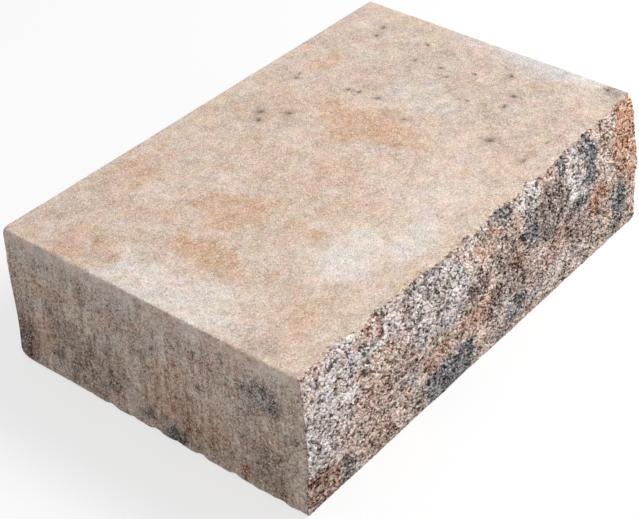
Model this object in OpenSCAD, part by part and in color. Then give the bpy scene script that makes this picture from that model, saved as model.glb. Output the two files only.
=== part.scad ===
// Concrete block step: one solid unit, moulded on five sides and split on the front.
// +X runs along the riser, +Y from the riser to the back, +Z up from the bed.
// The origin is at the centre of the footprint, on the bed face.

/* [Block] */
// Length of the riser, end to end
length = 600; // [400:10:1000]
// Depth of the footprint, from the back to the proudest point of the split face
depth = 380; // [300:5:450]
// Height of the step
height = 160; // [120:5:200]

/* [Arrises] */
// Radius of the moulded edges round the tread and down the back corners
arris = 3; // [1:0.5:8]
// Radius of the worn edges round the bed
worn_arris = 4; // [1:0.5:10]

/* [Split face] */
// How far the face leans back between the foot and the tread, at the left-hand end
lean_left = 0; // [0:0.5:12]
// How far it leans back at the right-hand end
lean_right = 12.5; // [0:0.5:16]
// How far the brow is broken back where the face meets the tread, at the left-hand end
brow_left = 11.5; // [0:0.5:16]
// How far the brow is broken back at the right-hand end
brow_right = 7; // [0:0.5:20]
// Height over which the brow is broken back
brow_height = 66; // [15:1:70]
// How far the foot is broken back where the face meets the bed
foot_break = 3.5; // [0:0.5:8]
// Height over which the foot is broken back
foot_height = 9; // [4:1:20]

/* [Relief of the split] */
// Height of the hollows and swells, from the deepest to the proudest
relief = 15; // [2:0.5:20]
// Width of the largest swells
swell = 130; // [80:5:250]
// Share of each finer layer of relief in the one before
roughness = 0.72; // [0.3:0.02:0.8]
// Height above the bed over which the straight blade line grows into the full relief
blade_margin = 26; // [5:1:40]
// Number of bites that the split leaves along the edge of the tread
spalls = 11; // [0:1:24]
// Width of the widest bite
spall_width = 44; // [10:1:80]
// Depth of the deepest bite
spall_depth = 6; // [0:0.5:12]
// Size of the facets that the broken face is made of
facet = 6; // [6:0.5:16]
// Which of the many possible breaks this one is
break_number = 728; // [1:1:999]

/* [Hidden] */

// Finer layers of relief, each half as wide as the one before
layers = 5;
// Share of the full relief that is left on the blade line itself
blade_share = 0.12;
// How far the raw block runs on past the split, before the splitter takes it off
offcut = 25;
// How far the cutter reaches past the raw block on its other sides
clearance = 10;

columns = ceil(length / facet);
rows = ceil(height / facet);
column_pitch = length / columns;
row_pitch = height / rows;
back = depth / 2;
foot = -depth / 2;

// ---- the broken surface -------------------------------------------------

function ease(t) = t * t * (3 - 2 * t);
function mix(a, b, t) = a + (b - a) * t;

// Random heights from -1 to 1 on a lattice, one row of numbers for each column
function lattice(wide, high, seed) =
    [for (i = [0 : wide]) rands(-1, 1, high + 1, seed + 31 * i)];

// The lattice's height at any place between its points, in lattice steps
function between(points, u, v) =
    let (i = floor(u), k = floor(v), a = ease(u - i), b = ease(v - k))
    mix(mix(points[i][k], points[i + 1][k], a),
        mix(points[i][k + 1], points[i + 1][k + 1], a), b);

// One layer of relief for every facet corner: even layers swell, odd ones crease into ridges
function layer(n) =
    let (pitch = swell / pow(2, n),
         wide = ceil((length + 2 * facet) / pitch) + 1,
         high = ceil((height + 2 * facet) / pitch) + 1,
         points = lattice(wide, high, 1000 * break_number + 97 * n))
    [for (i = [0 : columns + 1]) [for (k = [0 : rows + 1])
        let (h = between(points, i * column_pitch / pitch, k * row_pitch / pitch))
        n % 2 == 0 ? h : 1 - 2 * abs(h)]];

all_layers = [for (n = [0 : layers - 1]) layer(n)];
layer_shares = [for (n = [0 : layers - 1]) pow(roughness, n)];
share_sum = layer_shares * [for (n = [0 : layers - 1]) 1];

// Places of the facet corners: they overhang the block by half a facet all round
function corner_x(i) = -length / 2 + (i - 0.5) * column_pitch;
function corner_z(k) = (k - 0.5) * row_pitch;

// The bites along the edge of the tread: [place along the edge, half width, depth]
bites = [for (n = [0 : 1 : spalls - 1])
    let (r = rands(0, 1, 3, 500 * break_number + 13 * n))
    [length * ((n + r[0]) / spalls - 0.5),
     spall_width / 2 * mix(0.4, 1, r[1]),
     spall_depth * mix(0.3, 1, r[2])]];

// How deep one bite is at a place on the face: a dish centred on the edge of the tread
function dish(bite, x, z) =
    let (u = (x - bite[0]) / bite[1], v = (height - min(z, height)) / bite[1])
    bite[2] * max(0, 1 - u * u - v * v);

// How far the face stands out of its foremost plane at a place, without its relief
function profile(x, z) =
    let (up = min(max(z, 0), height),
         high = max(0, 1 - (height - up) / brow_height),
         low = max(0, 1 - up / foot_height),
         along = x / length + 0.5,
         lean = mix(lean_left, lean_right, along),
         brow = mix(brow_left, brow_right, along))
    -lean * up / height - brow * high * high - foot_break * low * low;

// The relief at a facet corner: small along the blade line at the foot
function relief_at(i, k) =
    let (sum = [for (n = [0 : layers - 1]) all_layers[n][i][k]] * layer_shares)
    relief / 2 * sum / share_sum * min(1, max(blade_share, corner_z(k) / blade_margin));

function bitten(x, z) = max([0, for (bite = bites) dish(bite, x, z)]);

stand_out = [for (i = [0 : columns + 1]) [for (k = [0 : rows + 1])
    profile(corner_x(i), corner_z(k)) + relief_at(i, k) - bitten(corner_x(i), corner_z(k))]];

// The proudest corner inside the block lies on the front of the footprint
proudest = max([for (i = [1 : columns]) max([for (k = [1 : rows]) stand_out[i][k]])]);
function corner_y(i, k) = foot + max(0, proudest - stand_out[i][k]);

// Everything behind the break: a slab whose front is the broken surface
module behind_the_break() {
    high = rows + 2;
    wide = columns + 2;
    rear = back + clearance;
    front_points = [for (i = [0 : wide - 1]) for (k = [0 : high - 1])
        [corner_x(i), corner_y(i, k), corner_z(k)]];
    // The rim of the grid, once round: along the foot, up, back along the top and down
    rim = concat([for (i = [0 : wide - 2]) i * high],
                 [for (k = [0 : high - 2]) (wide - 1) * high + k],
                 [for (i = [wide - 1 : -1 : 1]) i * high + high - 1],
                 [for (k = [high - 1 : -1 : 1]) k]);
    rear_points = [for (n = rim) [front_points[n].x, rear, front_points[n].z]];
    first_rear = len(front_points);
    centre = first_rear + len(rim);
    // Two triangles to a facet, with the diagonal turned about from each to the next
    surface = [for (i = [0 : wide - 2]) for (k = [0 : high - 2])
        let (a = i * high + k, b = a + high)
        each (i + k) % 2 == 0 ? [[a, a + 1, b + 1], [a, b + 1, b]]
                              : [[a, a + 1, b], [a + 1, b + 1, b]]];
    skirt = [for (n = [0 : len(rim) - 1])
        let (m = (n + 1) % len(rim))
        [rim[n], rim[m], first_rear + m, first_rear + n]];
    rear_fan = [for (n = [0 : len(rim) - 1])
        [first_rear + n, first_rear + (n + 1) % len(rim), centre]];
    polyhedron(points = concat(front_points, rear_points, [[0, rear, height / 2]]),
               faces = concat(surface, skirt, rear_fan));
}

// ---- the moulded block --------------------------------------------------

// What a round leaves of a square corner at the origin, to be taken off the corner
module corner_waste(r) {
    difference() {
        translate([-1, -1]) square(r + 1);
        translate([r, r]) circle(r);
    }
}

// A rectangle from [x0, y0] to [x1, y1] with its corners rounded, anticlockwise from the lower left
module rounded_rectangle(x0, y0, x1, y1, radii) {
    corners = [[x0, y0], [x1, y0], [x1, y1], [x0, y1]];
    difference() {
        translate([x0, y0]) square([x1 - x0, y1 - y0]);
        for (n = [0 : 3])
            if (radii[n] > 0) translate(corners[n]) rotate(90 * n) corner_waste(radii[n]);
    }
}

// The raw block as it leaves the mould, running on past the split line
module raw_block() {
    raw_front = foot - offcut;
    intersection() {
        // Seen from the front: ends, tread and bed
        translate([0, back + clearance, 0]) rotate([90, 0, 0])
            linear_extrude(height = depth + offcut + 2 * clearance)
                rounded_rectangle(-length / 2, 0, length / 2, height,
                                  [worn_arris, worn_arris, arris, arris]);
        // Seen from the end: back, tread and bed
        translate([-length / 2 - clearance, 0, 0]) rotate([90, 0, 90])
            linear_extrude(height = length + 2 * clearance)
                rounded_rectangle(raw_front, 0, back, height, [0, worn_arris, arris, 0]);
        // Seen from above: the two back corners
        translate([0, 0, -clearance])
            linear_extrude(height = height + 2 * clearance)
                rounded_rectangle(-length / 2, raw_front, length / 2, back, [0, 0, arris, arris]);
    }
}

module block_step() {
    color([0.76, 0.67, 0.59]) intersection() {
        raw_block();
        behind_the_break();
    }
}

block_step();
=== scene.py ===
"""Looks of the concrete block step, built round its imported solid.

One mesh dresses the block. Its front follows the solid's own broken face and adds the stones and the
grit of the split. Its other five faces are as they left the mould, with worn arrises and blow holes.
Lengths are in metres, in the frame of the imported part: +X along the riser, +Y to the back, +Z up.
"""

import logging
import math
from dataclasses import dataclass
from enum import Enum
from functools import cached_property

import bpy
import numpy as np
from bpy.types import Material, Node, NodeSocket, Object
from mathutils import Euler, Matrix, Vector
from mathutils.bvhtree import BVHTree
from mathutils.geometry import delaunay_2d_cdt


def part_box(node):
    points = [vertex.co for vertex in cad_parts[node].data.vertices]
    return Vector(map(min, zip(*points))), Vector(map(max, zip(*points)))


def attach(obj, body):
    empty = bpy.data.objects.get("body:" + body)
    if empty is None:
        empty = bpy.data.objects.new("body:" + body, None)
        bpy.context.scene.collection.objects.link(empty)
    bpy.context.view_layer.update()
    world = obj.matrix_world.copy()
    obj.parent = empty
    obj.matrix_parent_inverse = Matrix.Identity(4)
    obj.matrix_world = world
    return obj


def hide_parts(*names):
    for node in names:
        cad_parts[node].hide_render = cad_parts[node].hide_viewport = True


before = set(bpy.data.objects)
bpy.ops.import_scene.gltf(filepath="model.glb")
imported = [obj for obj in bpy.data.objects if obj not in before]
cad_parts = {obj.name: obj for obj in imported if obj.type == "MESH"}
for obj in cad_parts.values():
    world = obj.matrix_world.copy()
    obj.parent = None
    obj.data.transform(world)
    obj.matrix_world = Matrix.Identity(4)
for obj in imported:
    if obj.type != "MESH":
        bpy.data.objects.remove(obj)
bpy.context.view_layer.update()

MM = 0.001
FLUSH = 0.01 * MM  # a point nearer to a plane than this lies on it
FAR = 9.0  # further than any distance that it is compared with
BODY = "root"
NODE = "block_step"
LOG = logging.getLogger("block_step")

Array = np.ndarray
Span = tuple[float, float]
Vector3 = tuple[float, float, float]
Colour = Vector3
Waves = tuple[float, int, float]  # pitch of the widest layer, number of layers, share of each in the last
Faces = list[tuple[int, ...]]


# ---- random fields ------------------------------------------------------


def smooth(low: float, high: float, value: Array) -> Array:
    """Smooth step of an array.

    Args:
        low: value at which the result is 0.
        high: value at which the result is 1. It may be the lower of the two.
        value: the array.

    Returns:
        An array from 0 to 1.
    """
    t = np.clip((value - low) / (high - low), 0.0, 1.0)
    return t * t * (3.0 - 2.0 * t)


class Lattice:
    """Random numbers on the corners of an endless lattice, the same on every run."""

    SIZE = 4096
    SHIFT = 7.7  # how far apart two layers of noise are taken, in pitches

    def __init__(self, seed: int) -> None:
        """Fills the tables.

        Args:
            seed: number of this lattice.
        """
        draw = np.random.default_rng(seed)
        self.order = draw.permutation(self.SIZE)
        self.values = draw.uniform(-1.0, 1.0, (self.SIZE, 4))

    def corner(self, *cell: Array) -> Array:
        """Four random numbers from -1 to 1 for each lattice corner.

        Args:
            cell: whole-number coordinates, one array for each direction.

        Returns:
            One row of four numbers for each corner.
        """
        index = np.zeros_like(cell[0])
        for axis in cell:
            index = self.order[(index + axis) % self.SIZE]
        return self.values[index]

    def noise(self, points: Array, pitch: float) -> Array:
        """Smooth noise from -1 to 1.

        Args:
            points: rows of coordinates.
            pitch: distance between the lattice's corners.

        Returns:
            One number for each point.
        """
        scaled = points / pitch
        cell = np.floor(scaled).astype(int)
        weight = smooth(0.0, 1.0, scaled - cell)
        total = np.zeros(len(points))
        for step in np.ndindex(2, 2, 2):
            share = np.prod(np.where(step, weight, 1.0 - weight), axis=1)
            total += share * self.corner(*(cell + step).T)[:, 0]
        return total

    def layered(self, points: Array, pitch: float, layers: int, share: float) -> Array:
        """Noise with finer and weaker layers on top.

        Args:
            points: rows of coordinates.
            pitch: distance between the corners of the widest layer.
            layers: number of layers, each half as wide as the one before.
            share: strength of each layer in the one before.

        Returns:
            One number for each point, about from -1 to 1.
        """
        total = np.zeros(len(points))
        for n in range(layers):
            total += share**n * self.noise(points + self.SHIFT * pitch * n, pitch / 2**n)
        return total / sum(share**n for n in range(layers))


@dataclass(frozen=True)
class Packing:
    """What a layer of packed stones looks like at each of many points."""

    centre: Array  # how near the point is to the middle of its stone, from 0 at the rim to 1
    seam: Array  # distance to the seam between this stone and the next
    rank: Array  # a random number for the stone, from 0 to 1
    tilt: Array  # height that the stone's random slope gives the point, in stone widths


@dataclass(frozen=True)
class Stones:
    """A layer of stones packed at random over a face."""

    pitch: float  # mean width of a stone
    seed: int  # number of this layer

    STRAY = 0.42  # how far a stone's middle can lie from its cell's, in stone widths
    RIM = 0.75  # how far a stone reaches from its middle, in stone widths

    def at(self, across: Array, up: Array) -> Packing:
        """Looks the stones up.

        Args:
            across: coordinate along the face.
            up: coordinate up the face.

        Returns:
            The stones at those points.
        """
        lattice = Lattice(self.seed)
        place = np.stack([across, up], axis=1) / self.pitch
        cell = np.floor(place).astype(int)
        nearest, second = np.full((2, len(place)), FAR)
        rank, tilt = np.zeros((2, len(place)))
        for step in np.ndindex(3, 3):
            near = cell + np.array(step) - 1
            draws = lattice.corner(near[:, 0], near[:, 1])
            offset = place - (near + 0.5 + self.STRAY * draws[:, :2])
            distance = np.hypot(offset[:, 0], offset[:, 1])
            closer = distance < nearest
            second = np.where(closer, nearest, np.minimum(second, distance))
            nearest = np.where(closer, distance, nearest)
            rank = np.where(closer, draws[:, 2] * 0.5 + 0.5, rank)
            slope = math.pi * draws[:, 3]
            lean = offset[:, 0] * np.cos(slope) + offset[:, 1] * np.sin(slope)
            tilt = np.where(closer, lean, tilt)
        centre = np.clip(1.0 - nearest / self.RIM, 0.0, 1.0)
        return Packing(centre, (second - nearest) * self.pitch, rank, tilt)


# ---- the block's faces --------------------------------------------------


class Pigment(Enum):
    """Linear colours of the cement and sand that are blended in the block."""

    TAN = (0.68, 0.44, 0.305)
    UMBER = (0.315, 0.21, 0.165)
    PALE = (0.84, 0.755, 0.69)
    GREY = (0.46, 0.40, 0.365)
    PINK = (0.70, 0.49, 0.41)
    SLATE = (0.124, 0.124, 0.14)
    RUST = (0.38, 0.18, 0.095)
    ASH = (0.77, 0.722, 0.695)
    OCHRE = (0.68, 0.385, 0.205)

    @property
    def mark(self) -> str:
        """The mesh attribute that holds this pigment's share."""
        return f"pigment_{self.name.lower()}"


TAN, UMBER, PALE, GREY, PINK, SLATE, RUST, ASH, OCHRE = Pigment


class Side(Enum):
    """The six faces: outward normal, direction of the face's width and of its height."""

    SPLIT = ((0, -1, 0), (1, 0, 0), (0, 0, 1))
    TREAD = ((0, 0, 1), (1, 0, 0), (0, 1, 0))
    BED = ((0, 0, -1), (1, 0, 0), (0, -1, 0))
    BACK = ((0, 1, 0), (-1, 0, 0), (0, 0, 1))
    LEFT_END = ((-1, 0, 0), (0, -1, 0), (0, 0, 1))
    RIGHT_END = ((1, 0, 0), (0, 1, 0), (0, 0, 1))

    @property
    def axes(self) -> Array:
        """The three directions, as rows."""
        return np.array(self.value, float)


WALLS = (Side.LEFT_END, Side.RIGHT_END, Side.BACK)


@dataclass(frozen=True)
class Box:
    """The block's box."""

    low: Array  # its lowest corner
    high: Array

    @property
    def size(self) -> Array:
        """Length, depth and height."""
        return self.high - self.low

    def corner(self, side: Side) -> Array:
        """The corner of a face from which its width and height are counted."""
        out, across, up = side.axes
        return np.where((out > 0) | (across < 0) | (up < 0), self.high, self.low)

    def extent(self, side: Side) -> tuple[float, float]:
        """Width and height of a face."""
        _, wide, high = np.abs(side.axes) @ self.size
        return float(wide), float(high)

    def places(self, side: Side, points: Array) -> Array:
        """How far points lie out of a face, along its width and up its height, as rows."""
        return (points - self.corner(side)) @ side.axes.T


@dataclass(frozen=True)
class BlowHole:
    """A hole that an air bubble left in a moulded face."""

    side: Side  # the face that it is in
    across: float  # place along the face's width
    up: float  # place along the face's height
    radius: float  # mean radius of its rim
    depth: float  # depth at its middle
    turn: float  # angle of its longer axis

    STRETCH = 0.22  # how much longer than its mean its longer axis is
    RINGS = ((1.35, 11), (1.0, 11), (0.7, 8), (0.35, 5), (0.0, 1))  # share of the radius, points

    def _oval(self, angle: Array) -> Array:
        """Radius of the rim at an angle from the longer axis, in mean radii."""
        return 1.0 + self.STRETCH * np.cos(2.0 * angle)

    def reach(self) -> float:
        """Furthest that the hole's mesh points lie from its middle."""
        return self.RINGS[0][0] * self.radius * (1 + self.STRETCH)

    def points(self) -> Array:
        """Places the mesh points that draw the hole.

        Returns:
            Rows of places along the face.
        """
        found = []
        for share, count in self.RINGS:
            angle = self.turn + 2.0 * math.pi * np.arange(count) / count
            reach = share * self.radius * self._oval(angle - self.turn)
            found.append(np.stack([self.across + reach * np.cos(angle), self.up + reach * np.sin(angle)], 1))
        return np.concatenate(found)

    def away(self, places: Array) -> Array:
        """Measures how far places are from the hole's middle.

        Args:
            places: rows of places along the face.

        Returns:
            The distances, 1 at the rim.
        """
        offset = places - (self.across, self.up)
        angle = np.arctan2(offset[:, 1], offset[:, 0]) - self.turn
        return np.hypot(offset[:, 0], offset[:, 1]) / (self.radius * self._oval(angle))


@dataclass(frozen=True)
class Stain:
    """A soft patch of one pigment on one face."""

    side: Side  # the face that it is on
    pigment: Pigment  # what it is stained with
    across: float  # place of its middle along the face's width
    up: float  # place of its middle along the face's height
    wide: float  # half its width
    high: float  # half its height
    strength: float  # share of the pigment at its middle

    SOFT = (1.5, 0.5)  # where it ends and where it is full, as shares of half its size

    def cover(self, places: Array, ragged: Array) -> Array:
        """Share of the pigment at each place.

        Args:
            places: rows of places along the face.
            ragged: noise that breaks up the patch's outline.

        Returns:
            One share for each place.
        """
        away = np.hypot((places[:, 0] - self.across) / self.wide, (places[:, 1] - self.up) / self.high)
        return self.strength * smooth(*self.SOFT, away + ragged)


@dataclass(frozen=True)
class Sheet:
    """Points and faces of one side of the block, before they are welded to the others."""

    points: Array  # rows of coordinates on the block's sharp box
    faces: Faces  # corner numbers of each face, anticlockwise from outside


@dataclass(frozen=True)
class Mesher:
    """Lays points and faces over the sharp box: fine on the split, coarser where nothing shows."""

    box: Box
    fine: float = 1.36 * MM  # spacing on the split face and along its edges
    edge: float = 3.1 * MM  # spacing along the other edges
    # Distances from a moulded face's edges to its rings of points
    insets: tuple[float, ...] = (1.3 * MM, 2.8 * MM, 4.8 * MM, 8.0 * MM)

    # Edge of each moulded face that meets the split, counted anticlockwise from the foot
    FRONT_EDGES = {Side.TREAD: 0, Side.BED: 2, Side.LEFT_END: 1, Side.RIGHT_END: 3}
    MARGIN = 0.6  # free width inside the rings, in spacings
    SHAKE = 0.28  # how far the inner points stray from their grid, in spacings
    CLEARING = 0.25  # free width round a blow hole, in spacings
    MERGE = 1e-5  # millimetres within which two points are one

    def _place(self, side: Side, places: Array) -> Array:
        """Turns places along a face into coordinates."""
        _, across, up = side.axes
        return self.box.corner(side) + places[:, :1] * across + places[:, 1:] * up

    def _counts(self, side: Side) -> list[int]:
        """Number of steps along each of a moulded face's four edges."""
        pitches = [self.fine if self.FRONT_EDGES.get(side) == n else self.edge for n in range(4)]
        return [round(span / pitch) for span, pitch in zip(self.box.extent(side) * 2, pitches)]

    def split(self) -> Sheet:
        """Lays one even grid over the split face.

        Returns:
            The face's sheet.
        """
        wide, high = self.box.extent(Side.SPLIT)
        columns, rows = round(wide / self.fine), round(high / self.fine)
        across, up = np.meshgrid(np.linspace(0, wide, columns + 1), np.linspace(0, high, rows + 1))
        points = self._place(Side.SPLIT, np.stack([across.ravel(), up.ravel()], 1))
        number = np.arange(len(points)).reshape(rows + 1, columns + 1)
        quads = np.stack([number[:-1, :-1], number[:-1, 1:], number[1:, 1:], number[1:, :-1]], -1)
        return Sheet(points, [tuple(q) for q in quads.reshape(-1, 4).tolist()])

    def moulded(self, side: Side, spacing: float, holes: list[BlowHole]) -> Sheet:
        """Lays rings of quads along a moulded face's edges, and triangles inside them.

        Args:
            side: the face.
            spacing: mean distance between the points inside the rings.
            holes: the blow holes in this face.

        Returns:
            The face's sheet.
        """
        extent = np.array(self.box.extent(side))
        foot, right, top, left = [np.arange(n) / n for n in self._counts(side)]
        runs = ((foot, 0), (1, right), (1 - top, 1), (0, 1 - left))
        loop = np.concatenate([np.stack(np.broadcast_arrays(*run), 1) for run in runs])
        rings = [inset + loop * (extent - 2 * inset) for inset in (0.0, *self.insets)]
        count = len(loop)
        base = len(self.insets) * count
        rim = [(n, (n + 1) % count) for n in range(count)]
        faces = [
            (ring + n, ring + m, ring + count + m, ring + count + n)
            for ring in range(0, base, count) for n, m in rim]
        places = np.concatenate([*rings, self._scatter(extent, spacing, holes)])
        tips = [Vector(p) for p in (places[base:] / MM).tolist()]
        _, _, triangles, came_from, _, _ = delaunay_2d_cdt(tips, rim, [], 1, self.MERGE)
        faces += [tuple(base + came_from[n][0] for n in triangle) for triangle in triangles]
        return Sheet(self._place(side, places), faces)

    def _scatter(self, extent: Array, spacing: float, holes: list[BlowHole]) -> Array:
        """Scatters points inside a face's rings: a shaken grid, cleared round each hole.

        Args:
            extent: width and height of the face.
            spacing: mean distance between the points.
            holes: the blow holes, which bring points of their own.

        Returns:
            Rows of places along the face.
        """
        margin = self.insets[-1] + self.MARGIN * spacing
        columns, rows = (max(2, round((span - 2 * margin) / spacing)) for span in extent)
        across, up = (np.linspace(margin, span - margin, n) for span, n in zip(extent, (columns, rows)))
        places = np.stack([axis.ravel() for axis in np.meshgrid(across, up)], 1)
        draw = np.random.default_rng(columns * 1000 + rows)
        places = places + draw.uniform(-self.SHAKE, self.SHAKE, places.shape) * spacing
        kept = np.ones(len(places), bool)
        for hole in holes:
            away = np.hypot(places[:, 0] - hole.across, places[:, 1] - hole.up)
            kept &= away > hole.reach() + self.CLEARING * spacing
        return np.concatenate([places[kept], *[hole.points() for hole in holes]])


def weld(sheets: list[Sheet]) -> tuple[Array, Faces, list[Array]]:
    """Joins the sides along the edges that they share.

    Args:
        sheets: the sides.

    Returns:
        The points, the faces and, for each sheet, the numbers of its points.
    """
    points = np.concatenate([sheet.points for sheet in sheets])
    keys = np.round(points / (0.001 * MM)).astype(np.int64)
    _, first, number = np.unique(keys, axis=0, return_index=True, return_inverse=True)
    ends = np.cumsum([len(sheet.points) for sheet in sheets])
    members = np.split(number.ravel(), ends[:-1])
    faces = []
    for sheet, mine in zip(sheets, members):
        named = mine.tolist()
        faces += [tuple(named[corner] for corner in face) for face in sheet.faces]
    return points[first], faces, members


# ---- the shape of each part of the surface ------------------------------


@dataclass(frozen=True)
class Course:
    """One size of stone in the broken face."""

    stones: Stones  # how the stones are packed
    step: float  # millimetres between the most and the least proud stone
    slope: float  # millimetres that a full tilt adds
    share: float  # its part in the rank that colours the face

    def relief(self, packing: Packing) -> Array:
        """Height that the stones give each point, round 0."""
        return MM * (self.step * (packing.rank - 0.5) + self.slope * packing.tilt)


class BrokenFace:
    """The split face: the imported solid's own break, smoothed, with stones and grit over it."""

    PROBE = 3.0 * MM  # spacing of the places where the solid is measured
    NUDGE = (4.6 * MM, 0.5 * MM)  # how far inside the box they stay, along X and up Z
    GUARD = 2.2 * MM  # depth at which the face stops coming forward
    WARP, WARP_PITCH = 0.8 * MM, 3.5 * MM  # how far the stones' outlines are bent
    CRAG, CRAG_WAVES = 0.7 * MM, (11 * MM, 2, 0.6)  # waves of the whole face
    GRAVEL = Stones(7.5 * MM, 13)
    BIG = 0.8  # rank from which the gravel shows
    DOME, BEDDED = 1.2, 0.3  # millimetres that it bulges and lies bedded
    STONES = Course(Stones(3.7 * MM, 12), 1.1, 0.8, 0.55)
    SEAM, SEAM_WIDTH = 0.5, 0.8 * MM  # millimetres of depth between stones, and width
    GRIT = Course(Stones(2.3 * MM, 14), 0.7, 0.5, 0.45)
    PEBBLE_SHARE = 0.7  # part of a pebble's own rank in the rank that colours it
    SUNKEN = (-0.4 * MM, -1.5 * MM)  # heights between which a hollow is darkened with painted shade
    CALM_FOOT = (0.35, 1 * MM, 6 * MM)  # share of the relief at the foot, and where it starts and is full
    CALM_BROW = (0.7, 0.5 * MM, 4 * MM)
    BITE, BITE_HIGH, BITE_WAVES = 2.6 * MM, 6 * MM, (12 * MM, 3, 0.8)  # bites out of the upper edge
    BITTEN = 1.5  # how much of that edge they take
    CRUMBLE, CRUMBLE_WIDE, CRUMBLE_WAVES = 1.8 * MM, 2 * MM, (5 * MM, 2, 0.7)  # wear behind it
    CRUMBLED = 0.3  # how far that wear goes on between the crumbs

    def __init__(self, box: Box, solid: Object, points: Array) -> None:
        """Measures the solid's broken face.

        Args:
            box: the block's box.
            solid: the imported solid.
            points: points of the sharp box.
        """
        self.box = box
        self.points = points
        self.crag = Lattice(11)
        self.columns, self.rows = (round(span / self.PROBE) for span in box.size[[0, 2]])
        self.depths = self._soften(self._probe(solid))

    def _probe(self, solid: Object) -> Array:
        """Finds how far behind the box's front the solid's face lies.

        Args:
            solid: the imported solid.

        Returns:
            The depths on an even grid, one row for each X.
        """
        mesh = solid.data
        tree = BVHTree.FromPolygons([v.co for v in mesh.vertices], [tuple(p.vertices) for p in mesh.polygons])
        lines = []
        for axis, steps, nudge in ((0, self.columns, self.NUDGE[0]), (2, self.rows, self.NUDGE[1])):
            even = self.box.low[axis] + self.box.size[axis] * np.arange(steps + 1) / steps
            lines.append(np.clip(even, self.box.low[axis] + nudge, self.box.high[axis] - nudge))
        front = self.box.low[1]
        ahead = Vector((0, 1, 0))
        return np.array([
            [tree.ray_cast(Vector((x, front - 1.0, z)), ahead)[0].y - front for z in lines[1]]
            for x in lines[0]])

    @staticmethod
    def _soften(grid: Array) -> Array:
        """Rounds off the solid's facets.

        Args:
            grid: depths on an even grid.

        Returns:
            The grid, in which each value has taken in its neighbours.
        """
        for _ in range(2):
            padded = np.pad(grid, ((1, 1), (0, 0)), mode="edge")
            grid = ((padded[:-2] + 2 * padded[1:-1] + padded[2:]) / 4).T
        return grid

    def _base(self) -> Array:
        """Reads the solid's softened depth between the places where it was measured.

        Returns:
            The depth at each point's X and Z.
        """
        share = np.clip((self.points - self.box.low) / self.box.size, 0, 1)
        u, v = share[:, 0] * self.columns, share[:, 2] * self.rows
        i = np.minimum(u.astype(int), self.columns - 1)
        k = np.minimum(v.astype(int), self.rows - 1)
        a, b = u - i, v - k
        d = self.depths
        return (d[i, k] * (1 - a) * (1 - b) + d[i + 1, k] * a * (1 - b)
                + d[i, k + 1] * (1 - a) * b + d[i + 1, k + 1] * a * b)

    def depth(self) -> tuple[Array, dict[str, Array]]:
        """Finds how far behind the box's front the broken face lies.

        Returns:
            The depth at each point's X and Z, and what the finish needs to know there: how sunken it
            is, from 0 to 1, and the random rank of its stone.
        """
        flat = self.points * (1, 0, 1)
        warp = self.WARP * self.crag.noise(flat + 3.1, self.WARP_PITCH)
        x, z = self.points[:, 0] + warp, self.points[:, 2] - warp
        gravel = self.GRAVEL.at(x, z)
        stones = self.STONES.stones.at(x, z)
        grit = self.GRIT.stones.at(x, z)
        big = gravel.rank > self.BIG
        crag = self.CRAG * self.crag.layered(flat, *self.CRAG_WAVES)
        proud = crag + MM * np.where(big, self.DOME * np.sqrt(gravel.centre) - self.BEDDED, 0.0)
        proud = proud + self.STONES.relief(stones)
        proud = proud - MM * self.SEAM * np.exp(-((stones.seam / self.SEAM_WIDTH) ** 2))
        proud = proud + self.GRIT.relief(grit)
        up = self.points[:, 2] - self.box.low[2]
        below = self.box.size[2] - up
        calm = 1.0
        for (least, *span), away in ((self.CALM_FOOT, up), (self.CALM_BROW, below)):
            calm = calm * (least + (1.0 - least) * smooth(*span, away))
        loose = np.clip(self.BITTEN * self.crag.layered(flat + 0.4, *self.BITE_WAVES), 0.0, 1.0)
        bite = self.BITE * loose * smooth(self.BITE_HIGH, 0.0, below)
        behind = self._base() - calm * proud + bite
        guarded = self.GUARD * np.exp(behind / self.GUARD - 1.0)
        rank = np.clip(self.STONES.share * stones.rank + self.GRIT.share * grit.rank, 0.0, 1.0)
        pebble = self.PEBBLE_SHARE * gravel.rank + (1.0 - self.PEBBLE_SHARE) * grit.rank
        return np.where(behind > self.GUARD, behind, guarded), {
            "sunken": smooth(*self.SUNKEN, proud - crag),
            "stone": np.where(big, pebble, rank)}

    def crumble(self) -> Array:
        """Finds how far the tread's front edge has crumbled down.

        Returns:
            The drop at each point.
        """
        away = (self.points[:, 1] - self.box.low[1]) + (self.box.high[2] - self.points[:, 2])
        loose = self.CRUMBLED + self.crag.layered(self.points, *self.CRUMBLE_WAVES)
        return self.CRUMBLE * np.clip(loose, 0.0, 1.0) * np.exp(-away / self.CRUMBLE_WIDE)


@dataclass(frozen=True)
class Knock:
    """A place where an arris is worn or chipped away further than elsewhere."""

    place: Vector3  # coordinates as shares of the block's box, from 0 to 1 each
    radius: float  # radius to which it is rounded off
    reach: float  # how far along the arris it goes


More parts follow.
